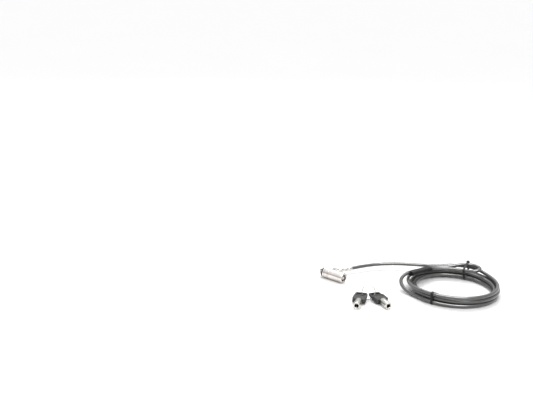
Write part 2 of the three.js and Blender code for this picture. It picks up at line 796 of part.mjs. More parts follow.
// A strap drawn round every strand that it holds, with its head and the end of its tail.
function tie(name) {
  const azimuth = tieAzimuths[name];
  const eye = new THREE.CatmullRomCurve3(eyeRoute(), false, "centripetal").getPoints(200);
  const strands = [-tieWidth / 2, 0, tieWidth / 2].flatMap((offset) =>
    [coil, eye].flatMap((points) => crossings(points, azimuth, offset)),
  );
  const edge = (angle, offset) => {
    const [nr, nz] = [Math.cos(angle), Math.sin(angle)];
    const reach = ([r, z]) => r * nr + z * nz;
    const furthest = strands.reduce((best, strand) => (reach(strand) > reach(best) ? strand : best));
    return new THREE.Vector2(furthest[0] + nr * offset, furthest[1] + nz * offset);
  };
  const inside = cableRadius + seatGap;
  const turns = 48;
  const loop = (offset) => Array.from({ length: turns }, (_, i) => edge((2 * Math.PI * i) / turns, offset));
  const outline = new THREE.Shape(loop(inside + tieThickness));
  outline.holes.push(new THREE.Path(loop(inside)));
  const band = plate(outline, -tieWidth / 2, tieWidth / 2);
  const angle = degrees(tieHeadAngles[name]);
  const seat = edge(angle, inside + tieThickness / 2);
  const headShape = new THREE.BoxGeometry(tieHeadHeight, tieHeadLength, tieHeadWidth);
  headShape.translate(tieHeadHeight / 2, 0, 0);
  const tailShape = new THREE.BoxGeometry(tieTailLength, tieThickness, tieWidth);
  tailShape.translate(tieHeadHeight / 2 + tieTailLength / 2, tieHeadLength / 4, 0);
  for (const piece of [headShape, tailShape]) {
    piece.rotateZ(angle);
    piece.translate(seat.x, seat.y, 0);
  }
  const geometry = geometryOf(union(band, solid(headShape), solid(tailShape)));
  const [c, s] = [Math.cos(degrees(azimuth)), Math.sin(degrees(azimuth))];
  const frame = new THREE.Matrix4().makeBasis(
    new THREE.Vector3(c, s, 0),
    new THREE.Vector3(0, 0, 1),
    new THREE.Vector3(s, -c, 0),
  );
  geometry.applyMatrix4(frame.setPosition(coilCentre.x, coilCentre.y, 0));
  return geometry;
}

// ---------------------------------------------------------------- keys

// A key lies along its own +X, from the head's rear edge, with its axis at the origin's height.
function keyOutline(shrink, rearX, frontX) {
  const width = (x) => keyRearWidth + ((keyFrontWidth - keyRearWidth) * x) / keyHeadLength - 2 * shrink;
  const radius = Math.min(keyCornerRadius - shrink / 2, 0.45 * (frontX - rearX));
  const corners = [
    [rearX, -width(rearX) / 2],
    [frontX, -width(frontX) / 2],
    [frontX, width(frontX) / 2],
    [rearX, width(rearX) / 2],
  ].map(([x, y]) => new THREE.Vector2(x, y));
  const shape = new THREE.Shape();
  corners.forEach((corner, i) => {
    const before = corners[(i + 3) % 4];
    const after = corners[(i + 1) % 4];
    const start = corner.clone().add(before.clone().sub(corner).setLength(radius));
    const end = corner.clone().add(after.clone().sub(corner).setLength(radius));
    if (i === 0) shape.moveTo(start.x, start.y);
    else shape.lineTo(start.x, start.y);
    shape.quadraticCurveTo(corner.x, corner.y, end.x, end.y);
  });
  return shape;
}

function keyHead() {
  const half = keyHeadThickness / 2;
  const web = plate(keyOutline(0, 0, keyHeadLength), -webThickness / 2, webThickness / 2, webEdge);
  const grip = plate(keyOutline(0, webLength, keyHeadLength), -half, half, gripEdge);
  const tangEndX = keyHeadLength - shankTangLength;
  const boss = turned([
    [tangEndX, 0],
    [tangEndX, half],
    [keyHeadLength, shankRadius],
    [keyHeadLength, 0],
  ]);
  const panels = [-1, 1].map((side) => {
    const outline = keyOutline(panelMargin, webLength + panelMargin, tangEndX + panelReach);
    const floor = side * (half - panelDepth);
    return side > 0 ? plate(outline, floor, 2 * half) : plate(outline, -2 * half, floor);
  });
  const slotEnd = ringSlotStart + ringSlotLength;
  const slot = box(ringSlotStart, slotEnd, -ringSlotWidth / 2, ringSlotWidth / 2, -half, half);
  const pocketY = shankTangWidth / 2 + seatGap;
  const pocketZ = shankTangThickness / 2 + seatGap;
  const pocket = box(tangEndX, keyHeadLength + overrun, -pocketY, pocketY, -pocketZ, pocketZ);
  return cut(union(web, grip, boss), ...panels, slot, pocket);
}

function keyShank() {
  const rearX = keyHeadLength + seatGap;
  const tipX = rearX + shankLength;
  const tubeBody = turned(
    [
      [rearX, 0],
      [rearX, shankRadius],
      [tipX - shankEdge, shankRadius],
      [tipX, shankRadius - shankEdge],
      [tipX, keyBoreRadius],
      [tipX - keyBoreDepth, keyBoreRadius],
      [tipX - keyBoreDepth, 0],
    ],
    40,
  );
  const tangY = shankTangWidth / 2;
  const tangZ = shankTangThickness / 2;
  const tang = box(rearX - shankTangLength, rearX + overrun, -tangY, tangY, -tangZ, tangZ);
  const lugX = tipX - lugLength - shankEdge;
  const half = lugWidth / 2;
  const lugs = [shankRadius, keyBoreRadius].map((radius) =>
    box(lugX, lugX + lugLength, -half, half, radius - lugHeight, radius + lugHeight),
  );
  return union(tubeBody, tang, ...lugs);
}

const keyAxisZ = deskZ + shankRadius;
const ringAlong = new THREE.Vector2(Math.cos(degrees(ringHeading)), Math.sin(degrees(ringHeading)));

// The key's slot end nearest the other key lies on the line through the ring's feet.
function keyPlace(name) {
  const side = keyRingSides[name];
  const heading = degrees(keyHeadings[name]);
  const forward = new THREE.Vector2(Math.cos(heading), Math.sin(heading));
  const leftward = new THREE.Vector2(-forward.y, forward.x);
  const slotX = ringSlotStart + ringSlotLength / 2;
  const edge = ringCentre.clone().addScaledVector(ringAlong, (side * keySideGap) / 2);
  const rear = edge.addScaledVector(forward, -slotX).addScaledVector(leftward, (side * keyRearWidth) / 2);
  const group = new THREE.Group();
  group.position.set(rear.x, rear.y, keyAxisZ);
  group.rotation.z = heading;
  return group;
}

function key(name) {
  const group = keyPlace(name);
  group.add(named(name + "_head", keyHead(), keyPlastic));
  group.add(named(name + "_shank", keyShank(), nickel));
  return group;
}

// Two close turns of round wire, standing in the two slots.
function splitRing() {
  const drop = Math.sqrt(splitRingRadius ** 2 - (ringFootSpacing / 2) ** 2);
  const steps = splitRingTurns * splitRingSteps;
  const centres = [];
  for (let i = 0; i <= steps; i++) {
    const turn = (2 * Math.PI * i) / splitRingSteps + Math.PI / 2;
    const aside = (i / steps - 0.5) * splitRingPitch * splitRingTurns;
    centres.push(
      new THREE.Vector3(splitRingRadius * Math.cos(turn), aside, splitRingRadius * Math.sin(turn) + drop),
    );
  }
  const geometry = tube(centres, splitRingWireRadius, 6, new THREE.Vector3(0, 1, 0));
  geometry.rotateX(-degrees(splitRingLean));
  geometry.rotateZ(degrees(ringHeading));
  geometry.translate(ringCentre.x, ringCentre.y, keyAxisZ);
  return { geometry, centres };
}

// ---------------------------------------------------------------- assembly

const lock = new THREE.Group();
lock.add(named("locking_bar", lockingBar(), steel));
lock.add(named("drive_pin", drivePin(), steel));
lock.add(named("anti_twist_plate", antiTwistPlate(), steel));
lock.add(named("nose_washer", noseWasher(), rubber));
lock.add(named("barrel", barrel(), chrome));
lock.add(named("retaining_pin", retainingPin(), steel));
lock.add(named("pin_sleeve", pinSleeve(), brass));
lock.add(named("rotor", rotor(), steel));
lock.add(named("face_ring", faceRing(), chrome));
onPinCircle((y, z, i) => {
  lock.add(named("key_pin_" + (i + 1), keyPin(y, z, i), steel));
  lock.add(named("driver_pin_" + (i + 1), driverPin(y, z), brass));
  lock.add(named("pin_spring_" + (i + 1), pinSpring(y, z), springSteel));
});
lock.add(named("swivel_collar", swivelCollar(), chrome));
lock.add(named("pivot_pin", pivotPin(), steel));

const terminal = new THREE.Group();
terminal.position.copy(pivotPoint);
terminal.rotation.z = terminalTurn;
terminal.add(named("cable_terminal", cableTerminal(), nickel));
lock.add(terminal);

lock.add(named("cable_lead", freeCable(leadRoute(), 24), cableSkin));
lock.add(named("cable_coil", tube(coil, cableRadius, coilSides, new THREE.Vector3(0, 0, 1)), cableSkin));
lock.add(named("cable_tail", freeCable(tailRoute(), 14), cableSkin));
lock.add(named("cable_eye", freeCable(eyeRoute(), 30), cableSkin));
lock.add(named("eye_sleeve", eyeSleeve(), sleeveSkin));
for (const name of Object.keys(tieAzimuths)) lock.add(named(name, tie(name), tieSkin));

for (const name of Object.keys(keyHeadings)) lock.add(key(name));
const ring = splitRing();
lock.add(named("split_ring", ring.geometry, nickel));

const gaps = {
  cable_coil: leastGapToItself(coil, cableRadius, coilSteps),
  split_ring: leastGapToItself(ring.centres, splitRingWireRadius, splitRingSteps),
};
for (const [name, gap] of Object.entries(gaps)) {
  console.log(name, "least gap to itself", gap.toFixed(2), "mm");
}

export default lock;
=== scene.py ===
import math

import bpy
import bmesh
from mathutils import Matrix, Vector


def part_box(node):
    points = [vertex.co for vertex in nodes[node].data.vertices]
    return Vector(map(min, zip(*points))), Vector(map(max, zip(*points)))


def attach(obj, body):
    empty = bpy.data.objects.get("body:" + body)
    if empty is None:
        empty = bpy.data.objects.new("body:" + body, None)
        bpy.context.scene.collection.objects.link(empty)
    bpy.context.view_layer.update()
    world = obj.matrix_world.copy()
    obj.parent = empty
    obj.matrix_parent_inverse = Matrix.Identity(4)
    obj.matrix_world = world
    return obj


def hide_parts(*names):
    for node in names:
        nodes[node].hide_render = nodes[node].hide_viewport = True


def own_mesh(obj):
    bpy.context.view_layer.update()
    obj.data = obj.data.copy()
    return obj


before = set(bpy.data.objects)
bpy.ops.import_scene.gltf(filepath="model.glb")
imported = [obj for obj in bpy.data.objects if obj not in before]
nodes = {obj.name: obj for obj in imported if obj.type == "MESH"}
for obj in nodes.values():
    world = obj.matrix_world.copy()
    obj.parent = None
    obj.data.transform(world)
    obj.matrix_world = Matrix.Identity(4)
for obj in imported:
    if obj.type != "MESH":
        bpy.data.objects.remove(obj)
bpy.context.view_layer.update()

MM = 0.001
TAU = 2 * math.pi
# Sizes are in millimetres, as in the solid model, and go through MM or mm() into the frame's metres.
DESK_Z = -6.5
SEAT_GAP = 0.3  # between pieces that sit on each other


def mm(point):
    return Vector(point) * MM


# ---------------------------------------------------------------- camera

CAMERA_PLACE = (0.59447, -0.75419, 0.35670)
YAW, PITCH, ROLL = (math.radians(a) for a in (-42.375, 15.493, 0.927))
LENS, SENSOR_WIDTH = 54.6, 36

forward = Vector((math.sin(YAW) * math.cos(PITCH), math.cos(YAW) * math.cos(PITCH), -math.sin(PITCH)))
level = Vector((math.cos(YAW), -math.sin(YAW), 0))
upward = level.cross(forward)
right = math.cos(ROLL) * level + math.sin(ROLL) * upward
up = -math.sin(ROLL) * level + math.cos(ROLL) * upward
camera_data = bpy.data.cameras.new("camera")
camera_data.lens = LENS
camera_data.sensor_width = SENSOR_WIDTH
camera_data.clip_start = 0.01
camera_data.clip_end = 100
camera = bpy.data.objects.new("camera", camera_data)
axes = Matrix((right, up, -forward)).transposed().to_4x4()
camera.matrix_world = Matrix.Translation(CAMERA_PLACE) @ axes
bpy.context.scene.collection.objects.link(camera)
bpy.context.scene.camera = camera

# ---------------------------------------------------------------- material helpers


def grey(value):
    return (value, value, value)


class Finish:
    """A node material that is put together step by step round one Principled shader."""

    def __init__(self, name, color, roughness, **sockets):
        self.material = bpy.data.materials.new(name)
        self.material.use_nodes = True
        self.tree = self.material.node_tree
        self.shader = self.tree.nodes["Principled BSDF"]
        self.shader.inputs["Base Color"].default_value = (*color, 1)
        self.shader.inputs["Roughness"].default_value = roughness
        for socket, value in sockets.items():
            self.shader.inputs[socket.replace("_", " ")].default_value = value
        self.last_bump = None
        self.place = self.node("ShaderNodeTexCoord").outputs["Object"]

    def node(self, kind, inputs=None, **settings):
        made = self.tree.nodes.new(kind)
        for key, value in settings.items():
            setattr(made, key, value)
        for key, value in (inputs or {}).items():
            if hasattr(value, "is_output"):
                self.tree.links.new(value, made.inputs[key])
            else:
                made.inputs[key].default_value = value
        return made

    def math(self, operation, a, b=0.0):
        return self.node("ShaderNodeMath", {0: a, 1: b}, operation=operation).outputs[0]

    def noise(self, scale, detail=3.0, vector=None, rough=0.55):
        inputs = {"Vector": vector or self.place, "Scale": scale, "Detail": detail, "Roughness": rough}
        return self.node("ShaderNodeTexNoise", inputs).outputs["Fac"]

    def spread(self, value, low, high, to_low, to_high):
        inputs = {"Value": value, "From Min": low, "From Max": high, "To Min": to_low, "To Max": to_high}
        return self.node("ShaderNodeMapRange", inputs).outputs["Result"]

    def mix(self, factor, a, b, mode="MIX"):
        made = self.node("ShaderNodeMix", data_type="RGBA", blend_type=mode)
        for index, value in ((0, factor), (6, a), (7, b)):
            if hasattr(value, "is_output"):
                self.tree.links.new(value, made.inputs[index])
            elif index == 0:
                made.inputs[0].default_value = value
            else:
                made.inputs[index].default_value = (*value, 1)
        return made.outputs[2]

    def bump(self, height, distance, strength=1.0):
        inputs = {"Height": height, "Distance": distance, "Strength": strength}
        if self.last_bump is not None:
            inputs["Normal"] = self.last_bump
        self.last_bump = self.node("ShaderNodeBump", inputs).outputs["Normal"]
        self.tree.links.new(self.last_bump, self.shader.inputs["Normal"])

    def drive(self, socket, value):
        self.tree.links.new(value, self.shader.inputs[socket])

    def worn_edge(self, radius, power=6.0):
        """1 near convex and concave edges, 0 on open faces."""
        soft = self.node("ShaderNodeBevel", {"Radius": radius}, samples=4).outputs["Normal"]
        hard = self.node("ShaderNodeNewGeometry").outputs["Normal"]
        dot = self.node("ShaderNodeVectorMath", {0: soft, 1: hard}, operation="DOT_PRODUCT").outputs["Value"]
        return self.spread(self.math("POWER", dot, power), 1.0, 0.5, 0.0, 1.0)


def metal(name, color, roughness, tarnish, line_scale, turned=False, line_height=4e-6):
    """Metal with machining lines (rings round X if turned) and soft smudges."""
    made = Finish(name, color, roughness, Metallic=1.0)
    x, y, z = made.node("ShaderNodeSeparateXYZ", {"Vector": made.place}).outputs
    if turned:
        reach = made.math("SQRT", made.math("ADD", made.math("MULTIPLY", y, y), made.math("MULTIPLY", z, z)))
        lines_at = made.node("ShaderNodeCombineXYZ", {"X": x, "Y": reach}).outputs[0]
    else:
        scale = {"Vector": made.place, "Scale": (1.0, 1.0, 0.12)}
        lines_at = made.node("ShaderNodeMapping", scale).outputs[0]
    lines = made.noise(line_scale, 2.0, lines_at)
    smudges = made.noise(160.0, 4.0)
    specks = made.noise(1400.0, 2.0)
    made.bump(lines, line_height)
    rough = made.spread(smudges, 0.3, 0.7, roughness * 0.75, roughness * 1.35)
    made.drive("Roughness", made.math("ADD", rough, made.spread(lines, 0.35, 0.65, -0.02, 0.03)))
    tone = made.mix(made.spread(smudges, 0.42, 0.72, 0.0, 0.55), color, tarnish)
    made.drive("Base Color", made.mix(made.spread(specks, 0.60, 0.75, 0.0, 0.35), tone, tarnish))
    return made.material


def grained(name, color, roughness, light, grain_scale, grain_height, wear=0.5, **sockets):
    """Moulded plastic or rubber with a fine grain, uneven gloss and rubbed, lighter edges."""
    made = Finish(name, color, roughness, **sockets)
    grain = made.noise(grain_scale, 3.0)
    broad = made.noise(90.0, 3.0)
    made.bump(grain, grain_height)
    made.bump(made.noise(260.0, 2.0), grain_height * 1.5, 0.5)
    made.drive("Roughness", made.spread(broad, 0.3, 0.7, roughness * 0.82, roughness * 1.15))
    rubbed = made.math("MULTIPLY", made.worn_edge(0.00035), made.spread(broad, 0.4, 0.6, 0.3, 1.0))
    tone = made.mix(made.spread(broad, 0.35, 0.7, 0.0, 0.30), color, light)
    made.drive("Base Color", made.mix(made.math("MULTIPLY", rubbed, wear), tone, light))
    return made.material


def cable_finish():
    """Clear glossy jacket over twisted dark steel strands, which show faintly through it."""
    made = Finish("cable_jacket_gloss", grey(0.07), 0.3, Metallic=0.25, Coat_Weight=1.0, Coat_Roughness=0.13)
    lay = made.node("ShaderNodeUVMap", uv_map="lay").outputs["UV"]
    along, around, _ = made.node("ShaderNodeSeparateXYZ", {"Vector": lay}).outputs

    def wound(count, spacing):
        """0 to 1 across each of count strands, which lie spacing metres apart along the cable."""
        turns = made.math("MULTIPLY", around, TAU * count)
        phase = made.math("ADD", made.math("MULTIPLY", along, TAU / spacing), turns)
        return made.spread(made.math("SINE", phase), -1.0, 1.0, 0.0, 1.0)

    band = wound(6, 0.0034)
    wire = wound(-7, 0.0009)
    scuffs = made.noise(130.0, 5.0)
    dust = made.noise(900.0, 4.0)
    tone = made.mix(band, grey(0.036), (0.068, 0.068, 0.066))
    tone = made.mix(made.math("MULTIPLY", made.math("MULTIPLY", wire, band), 0.35), tone, (0.14, 0.14, 0.137))
    tone = made.mix(made.spread(scuffs, 0.5, 0.75, 0.0, 0.4), tone, (0.085, 0.085, 0.082))
    made.drive("Base Color", made.mix(made.spread(dust, 0.62, 0.8, 0.0, 0.3), tone, (0.17, 0.17, 0.165)))
    made.drive("Roughness", made.spread(scuffs, 0.3, 0.7, 0.26, 0.40))
    made.bump(band, 1.2e-5, 0.6)
    made.bump(dust, 6e-6)
    return made.material


def sleeve_finish():
    """Shrunk black sleeve, drawn tight along the strands."""
    black, rubbed = grey(0.006), grey(0.022)
    made = Finish("shrunk_sleeve", black, 0.5, Specular_IOR_Level=0.2)
    lay = made.node("ShaderNodeUVMap", uv_map="lay").outputs["UV"]
    stretched = made.node("ShaderNodeMapping", {"Vector": lay, "Scale": (120.0, 22.0, 1.0)}).outputs[0]
    draw = made.noise(1.0, 3.0, stretched)
    cloud = made.noise(210.0, 4.0)
    made.bump(draw, 5e-5, 0.6)
    made.bump(made.noise(1800.0, 2.0), 5e-6)
    made.drive("Roughness", made.spread(cloud, 0.3, 0.7, 0.3, 0.52))
    made.drive("Base Color", made.mix(made.spread(draw, 0.45, 0.7, 0.0, 0.6), black, rubbed))
    return made.material


finishes = {
    "chrome": metal("satin_chrome", (0.74, 0.70, 0.67), 0.18, (0.53, 0.48, 0.45), 3600.0, turned=True),
    "steel": metal("ground_steel", (0.56, 0.56, 0.55), 0.32, (0.33, 0.31, 0.29), 5200.0),
    "brass": metal("turned_brass", (0.72, 0.52, 0.24), 0.28, (0.43, 0.30, 0.15), 5200.0, turned=True),
    "spring_steel": metal("drawn_wire", (0.60, 0.61, 0.63), 0.3, (0.36, 0.36, 0.38), 6500.0),
    "nickel": metal("bright_nickel", (0.64, 0.63, 0.60), 0.22, (0.44, 0.43, 0.40), 4200.0),
    "washer_rubber": grained(
        "washer_rubber_skin", (0.018, 0.017, 0.017), 0.78, (0.085, 0.08, 0.078), 5200.0, 1.6e-5
    ),
    "tie_plastic": grained(
        "tie_nylon", grey(0.004), 0.5, grey(0.02), 7000.0, 5e-6, 0.3, Specular_IOR_Level=0.25
    ),
    "key_plastic": grained(
        "key_head_plastic", grey(0.026), 0.5, (0.10, 0.10, 0.098), 4600.0, 2.2e-5, Specular_IOR_Level=0.3
    ),
    "cable_jacket": cable_finish(),
    "sleeve_plastic": sleeve_finish(),
    # near-black finish for the inside of the key bores: painted shade, the bore being dark only from shade
    "painted_bore_shade": grained("painted_shade_bore_skin", grey(0.006), 0.55, (0.03, 0.028, 0.025), 3000.0, 6e-6, 0.1),
}

# ---------------------------------------------------------------- mesh helpers


def mesh_object(name, vertices, faces, uvs=None, smooth_below=38.0):
    """uvs holds one (u, v) for each corner of each face, in order."""
    mesh = bpy.data.meshes.new(name)
    mesh.from_pydata([tuple(v) for v in vertices], [], faces)
    if uvs:
        layer = mesh.uv_layers.new(name="lay")
        layer.data.foreach_set("uv", [c for uv in uvs for c in uv])
    made = bpy.data.objects.new(name, mesh)
    bpy.context.scene.collection.objects.link(made)
    tidy(made, smooth_below)
    return made


def tidy(piece, smooth_below=38.0):
    """Merges meeting points, turns all faces outwards and shades them smooth below an angle."""
    work = bmesh.new()
    work.from_mesh(piece.data)
    bmesh.ops.remove_doubles(work, verts=work.verts, dist=1e-7)
    bmesh.ops.dissolve_degenerate(work, edges=work.edges, dist=1e-8)
    bmesh.ops.recalc_face_normals(work, faces=work.faces)
    work.to_mesh(piece.data)
    work.free()
    piece.data.polygons.foreach_set("use_smooth", [True] * len(piece.data.polygons))
    piece.data.set_sharp_from_angle(angle=math.radians(smooth_below))


def loft(name, rings, wrap=False, along=None, smooth_below=38.0):
    """Joins rings of equally many points. A wrapped loft joins last to first, an open one closes its ends."""
    count = len(rings[0])
    vertices = [point for ring in rings for point in ring]
    faces, uvs = [], []
    for i in range(len(rings) if wrap else len(rings) - 1):
        j = (i + 1) % len(rings)
        for k in range(count):
            n = (k + 1) % count
            faces.append((i * count + k, i * count + n, j * count + n, j * count + k))
            if along:
                for row, column in ((i, k), (i, k + 1), (j, k + 1), (j, k)):
                    uvs.append((along[row], column / count))
    if not wrap:
        for row in (0, len(rings) - 1):
            faces.append(tuple(row * count + k for k in range(count)))
            if along:
                uvs.extend((along[row], k / count) for k in range(count))
    return mesh_object(name, vertices, faces, uvs, smooth_below)


def softened(outline, radius, steps=3):
    """A closed outline of 2-D points with its corners rounded."""
    points = [Vector(p) for p in outline]
    out = []
    for i, corner in enumerate(points):
        ends = []
        for other in (points[i - 1], points[(i + 1) % len(points)]):
            away = other - corner
            ends.append(corner + away.normalized() * min(radius, 0.45 * away.length))
        for k in range(steps + 1):
            t = k / steps
            out.append((1 - t) ** 2 * ends[0] + 2 * t * (1 - t) * corner + t * t * ends[1])
    return out


def turned(name, profile, place, segments=96, radius=0.12):
    """A solid of revolution round its own X from a closed [x, radius] profile in millimetres."""
    outline = softened(profile, radius)
    rings = []
    for i in range(segments):
        cosine, sine = math.cos(TAU * i / segments), math.sin(TAU * i / segments)
        rings.append([place @ mm((x, max(r, 0) * cosine, max(r, 0) * sine)) for x, r in outline])
    return loft(name, rings, wrap=True)


def block(name, size, place, edge, steps=3):
    """A box with rounded edges. size and edge are in millimetres, and place sets its centre and axes."""
    work = bmesh.new()
    bmesh.ops.create_cube(work, size=1.0)
    bmesh.ops.scale(work, vec=mm(size), verts=work.verts)
    bmesh.ops.bevel(work, geom=work.edges[:], offset=edge * MM, segments=steps, profile=0.5, affect="EDGES")
    bmesh.ops.transform(work, matrix=place, verts=work.verts)
    mesh = bpy.data.meshes.new(name)
    work.to_mesh(mesh)
    work.free()
    made = bpy.data.objects.new(name, mesh)
    bpy.context.scene.collection.objects.link(made)
    tidy(made)
    return made


def extruded(name, outline, z0, z1, place, edge=0.0):
    """A flat outline in millimetres, extruded along Z, with its two rims rounded."""
    steps = [(z0, edge), (z0 + edge, 0.0), (z1 - edge, 0.0), (z1, edge)] if edge else [(z0, 0.0), (z1, 0.0)]
    points = [Vector(p) for p in outline]
    rings = []
    for z, inset in steps:
        ring = []
        for i, point in enumerate(points):
            chord = points[(i + 1) % len(points)] - points[i - 1]
            inwards = Vector((-chord.y, chord.x)).normalized() * inset
            ring.append(place @ mm((point.x + inwards.x, point.y + inwards.y, z)))
        rings.append(ring)
    return loft(name, rings)


def carve(piece, tool, operation="DIFFERENCE"):
    """Changes piece by tool, and removes tool."""
    modifier = piece.modifiers.new("carve", "BOOLEAN")
    modifier.object = tool
    modifier.operation = operation
    modifier.solver = "EXACT"
    bpy.context.view_layer.update()
    shaped = bpy.data.meshes.new_from_object(piece.evaluated_get(bpy.context.evaluated_depsgraph_get()))
    piece.modifiers.clear()
    piece.data = shaped
    bpy.data.objects.remove(tool)
    tidy(piece)
    return piece


def dress(piece, body, slot, replaced=(), finish=None):
    """Gives a new piece its finish, looked up by finish or else by slot, and its body, and hides the solids
    that it stands for.
    """
    if not piece.data.materials:
        piece.data.materials.append(finishes[finish or slot])
    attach(piece, body)
    if replaced:
        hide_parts(*replaced)
    return piece


def through(points, per_segment):
    """A centripetal Catmull-Rom curve through the points."""
    padded = [2 * points[0] - points[1], *points, 2 * points[-1] - points[-2]]
    out = []
    for p0, p1, p2, p3 in zip(padded, padded[1:], padded[2:], padded[3:]):
        t1, t2, t3 = ((b - a).length ** 0.5 for a, b in ((p0, p1), (p1, p2), (p2, p3)))
        m1 = ((p1 - p0) / t1 - (p2 - p0) / (t1 + t2) + (p2 - p1) / t2) * t2
        m2 = ((p2 - p1) / t2 - (p3 - p1) / (t2 + t3) + (p3 - p2) / t3) * t2
        for k in range(per_segment):
            t = k / per_segment
            out.append(p1 + t * m1 + t * t * (3 * (p2 - p1) - 2 * m1 - m2) + t**3 * (2 * (p1 - p2) + m1 + m2))
    return [*out, points[-1]]


def evenly(points, spacing):
    """The same line with points at equal distances, and the distance of each from the start."""
    total = sum((b - a).length for a, b in zip(points, points[1:]))
    count = max(2, round(total / spacing))
    out, at, i = [], 0.0, 0
    for k in range(count + 1):
        wanted = total * k / count
        while i < len(points) - 2 and at + (points[i + 1] - points[i]).length < wanted:
            at += (points[i + 1] - points[i]).length
            i += 1
        step = points[i + 1] - points[i]
        out.append(points[i] + step * min(1.0, (wanted - at) / max(step.length, 1e-9)))
    return out, [total * k / count for k in range(count + 1)]


def relaxed(points, passes):
    """The same points, each drawn a little towards its two neighbours at every pass."""
    for _ in range(passes):
        inner = [0.25 * a + 0.5 * b + 0.25 * c for a, b, c in zip(points, points[1:], points[2:])]
        points = [points[0], *inner, points[-1]]
    return points


def tube_rings(points, radius, sides, cap=0.3):
    """Round sections carried along the points without twist, the two ends rounded over cap millimetres."""
    side = None
    rings = []
    for i, point in enumerate(points):
        along = (points[min(i + 1, len(points) - 1)] - points[max(i - 1, 0)]).normalized()
        if side is None:
            side = Vector((0, 0, 1)) if abs(along.z) < 0.9 else Vector((1, 0, 0))
        side = (side - along * side.dot(along)).normalized()
        third = along.cross(side)
        first, last = i == 0, i == len(points) - 1
        sections = [(0.0, radius)]
        near = cap * 0.3
        if first:
            sections = [(-cap, radius - cap), (-near, radius - near), (0.0, radius)]
        if last:
            sections = [(0.0, radius), (near, radius - near), (cap, radius - cap)]
        for shift, reach in sections:
            centre = point + along * shift
            turns = (TAU * k / sides for k in range(sides))
            rings.append([centre + reach * (math.cos(t) * side + math.sin(t) * third) for t in turns])
    return rings


# ---------------------------------------------------------------- cable route

CABLE_RADIUS = 2.2
TIE_WIDTH, TIE_THICKNESS = 2.6, 0.5
PITCH_OF_TURNS = 4.9
OUTER_TURN = 53.5
COIL_CENTRE = Vector((147.1, 72.3, 0))
# azimuths and sweeps are in degrees; the coil is wound clockwise from its start
COIL_START, COIL_END, TURNS_BETWEEN = 118, 254, 5
TOP_RUN, CLIMB = 218, 180
LOWER_Z = DESK_Z + TIE_THICKNESS + SEAT_GAP + CABLE_RADIUS
UPPER_Z = LOWER_Z + PITCH_OF_TURNS
TOP_Z = UPPER_Z + PITCH_OF_TURNS
SWEEP = COIL_START - COIL_END + 360 * TURNS_BETWEEN
LAYER = (SWEEP - TOP_RUN - 2 * CLIMB) / 2
INNER_TURN = OUTER_TURN - PITCH_OF_TURNS * LAYER / 360
UPPER_START = TOP_RUN + CLIMB
UPPER_END = UPPER_START + LAYER
LOWER_START = UPPER_END + CLIMB
TIE_AZIMUTHS = {"tie_front": 274, "tie_rear": 102}
# the top run: sweep, millimetres out from the outer turn, millimetres up
TOP_RUN_COURSE = (
    (0, 3.5, 0.3),
    (16, 4.9, 0.5),
    (24, 4.5, 0.4),
    (32, 3.1, 0.2),
    (42, 0.7, 0),
    (52, -1.1, 0),
    (66, -1.9, 0),
    (90, -1.9, 0),
    (130, -1.2, 0),
    (180, -0.3, 0),
    (TOP_RUN, 0, 0),
)


def top_run(sweep, column):
    """A smooth course through the rows, bent like the one in the solid model."""
    at = [row[0] for row in TOP_RUN_COURSE]
    value = [row[column] for row in TOP_RUN_COURSE]
    i = max(0, min(len(at) - 2, sum(1 for t in at if t <= sweep) - 1))
    before, after = (i - 1 if i else 1), (i + 2 if i < len(at) - 2 else i)
    half_step = (at[i + 1] - at[i]) / 2
    start_pull = half_step / (at[i] - at[before])
    end_pull = half_step / (at[after] - at[i + 1])
    p = (sweep - at[i]) / (2 * half_step)
    weights = (
        -start_pull * (p**3 - 2 * p**2 + p),
        (1 + start_pull) * p**3 + (-1.5 - 2 * start_pull) * p**2 + (start_pull - 0.5) * p + 1,
        (-1 - end_pull) * p**3 + (1.5 + end_pull) * p**2 + 0.5 * p,
        end_pull * (p**3 - p**2),
    )
    return sum(w * value[k] for w, k in zip(weights, (before, i, i + 1, after)))


def coil_radius(sweep):
    if sweep <= TOP_RUN:
        return OUTER_TURN + top_run(sweep, 1)
    if sweep < UPPER_START:
        share = (sweep - TOP_RUN) / CLIMB
        return OUTER_TURN + PITCH_OF_TURNS / 2 * (share - share * share)
    if sweep <= UPPER_END:
        return OUTER_TURN - PITCH_OF_TURNS * (sweep - UPPER_START) / 360
    if sweep < LOWER_START:
        share = (sweep - UPPER_END) / CLIMB
        return INNER_TURN - PITCH_OF_TURNS / 2 * (share - share * share)
    return INNER_TURN + PITCH_OF_TURNS * (sweep - LOWER_START) / 360


def coil_height(sweep):
    if sweep <= TOP_RUN:
        return TOP_Z + top_run(sweep, 2)
    if sweep < UPPER_START:
        return TOP_Z - PITCH_OF_TURNS * (sweep - TOP_RUN) / CLIMB
    if sweep <= UPPER_END:
        return UPPER_Z
    if sweep < LOWER_START:
        return UPPER_Z - PITCH_OF_TURNS * (sweep - UPPER_END) / CLIMB
    return LOWER_Z


def slack(azimuth):
    """0 at a tie, where the strap lifts the bundle by its own thickness, and 1 well away from both ties."""
    reach = 24
    away = min(abs((azimuth - tie + 180) % 360 - 180) for tie in TIE_AZIMUTHS.values())
    return 1 - math.exp(-((away / reach) ** 2))


def around_coil(radius, azimuth, height):
    turn = math.radians(azimuth)
    return COIL_CENTRE + Vector((radius * math.cos(turn), radius * math.sin(turn), height))


SIDE_WAVER, HEIGHT_WAVER, SETTLING = 0.13, 0.06, 0.62


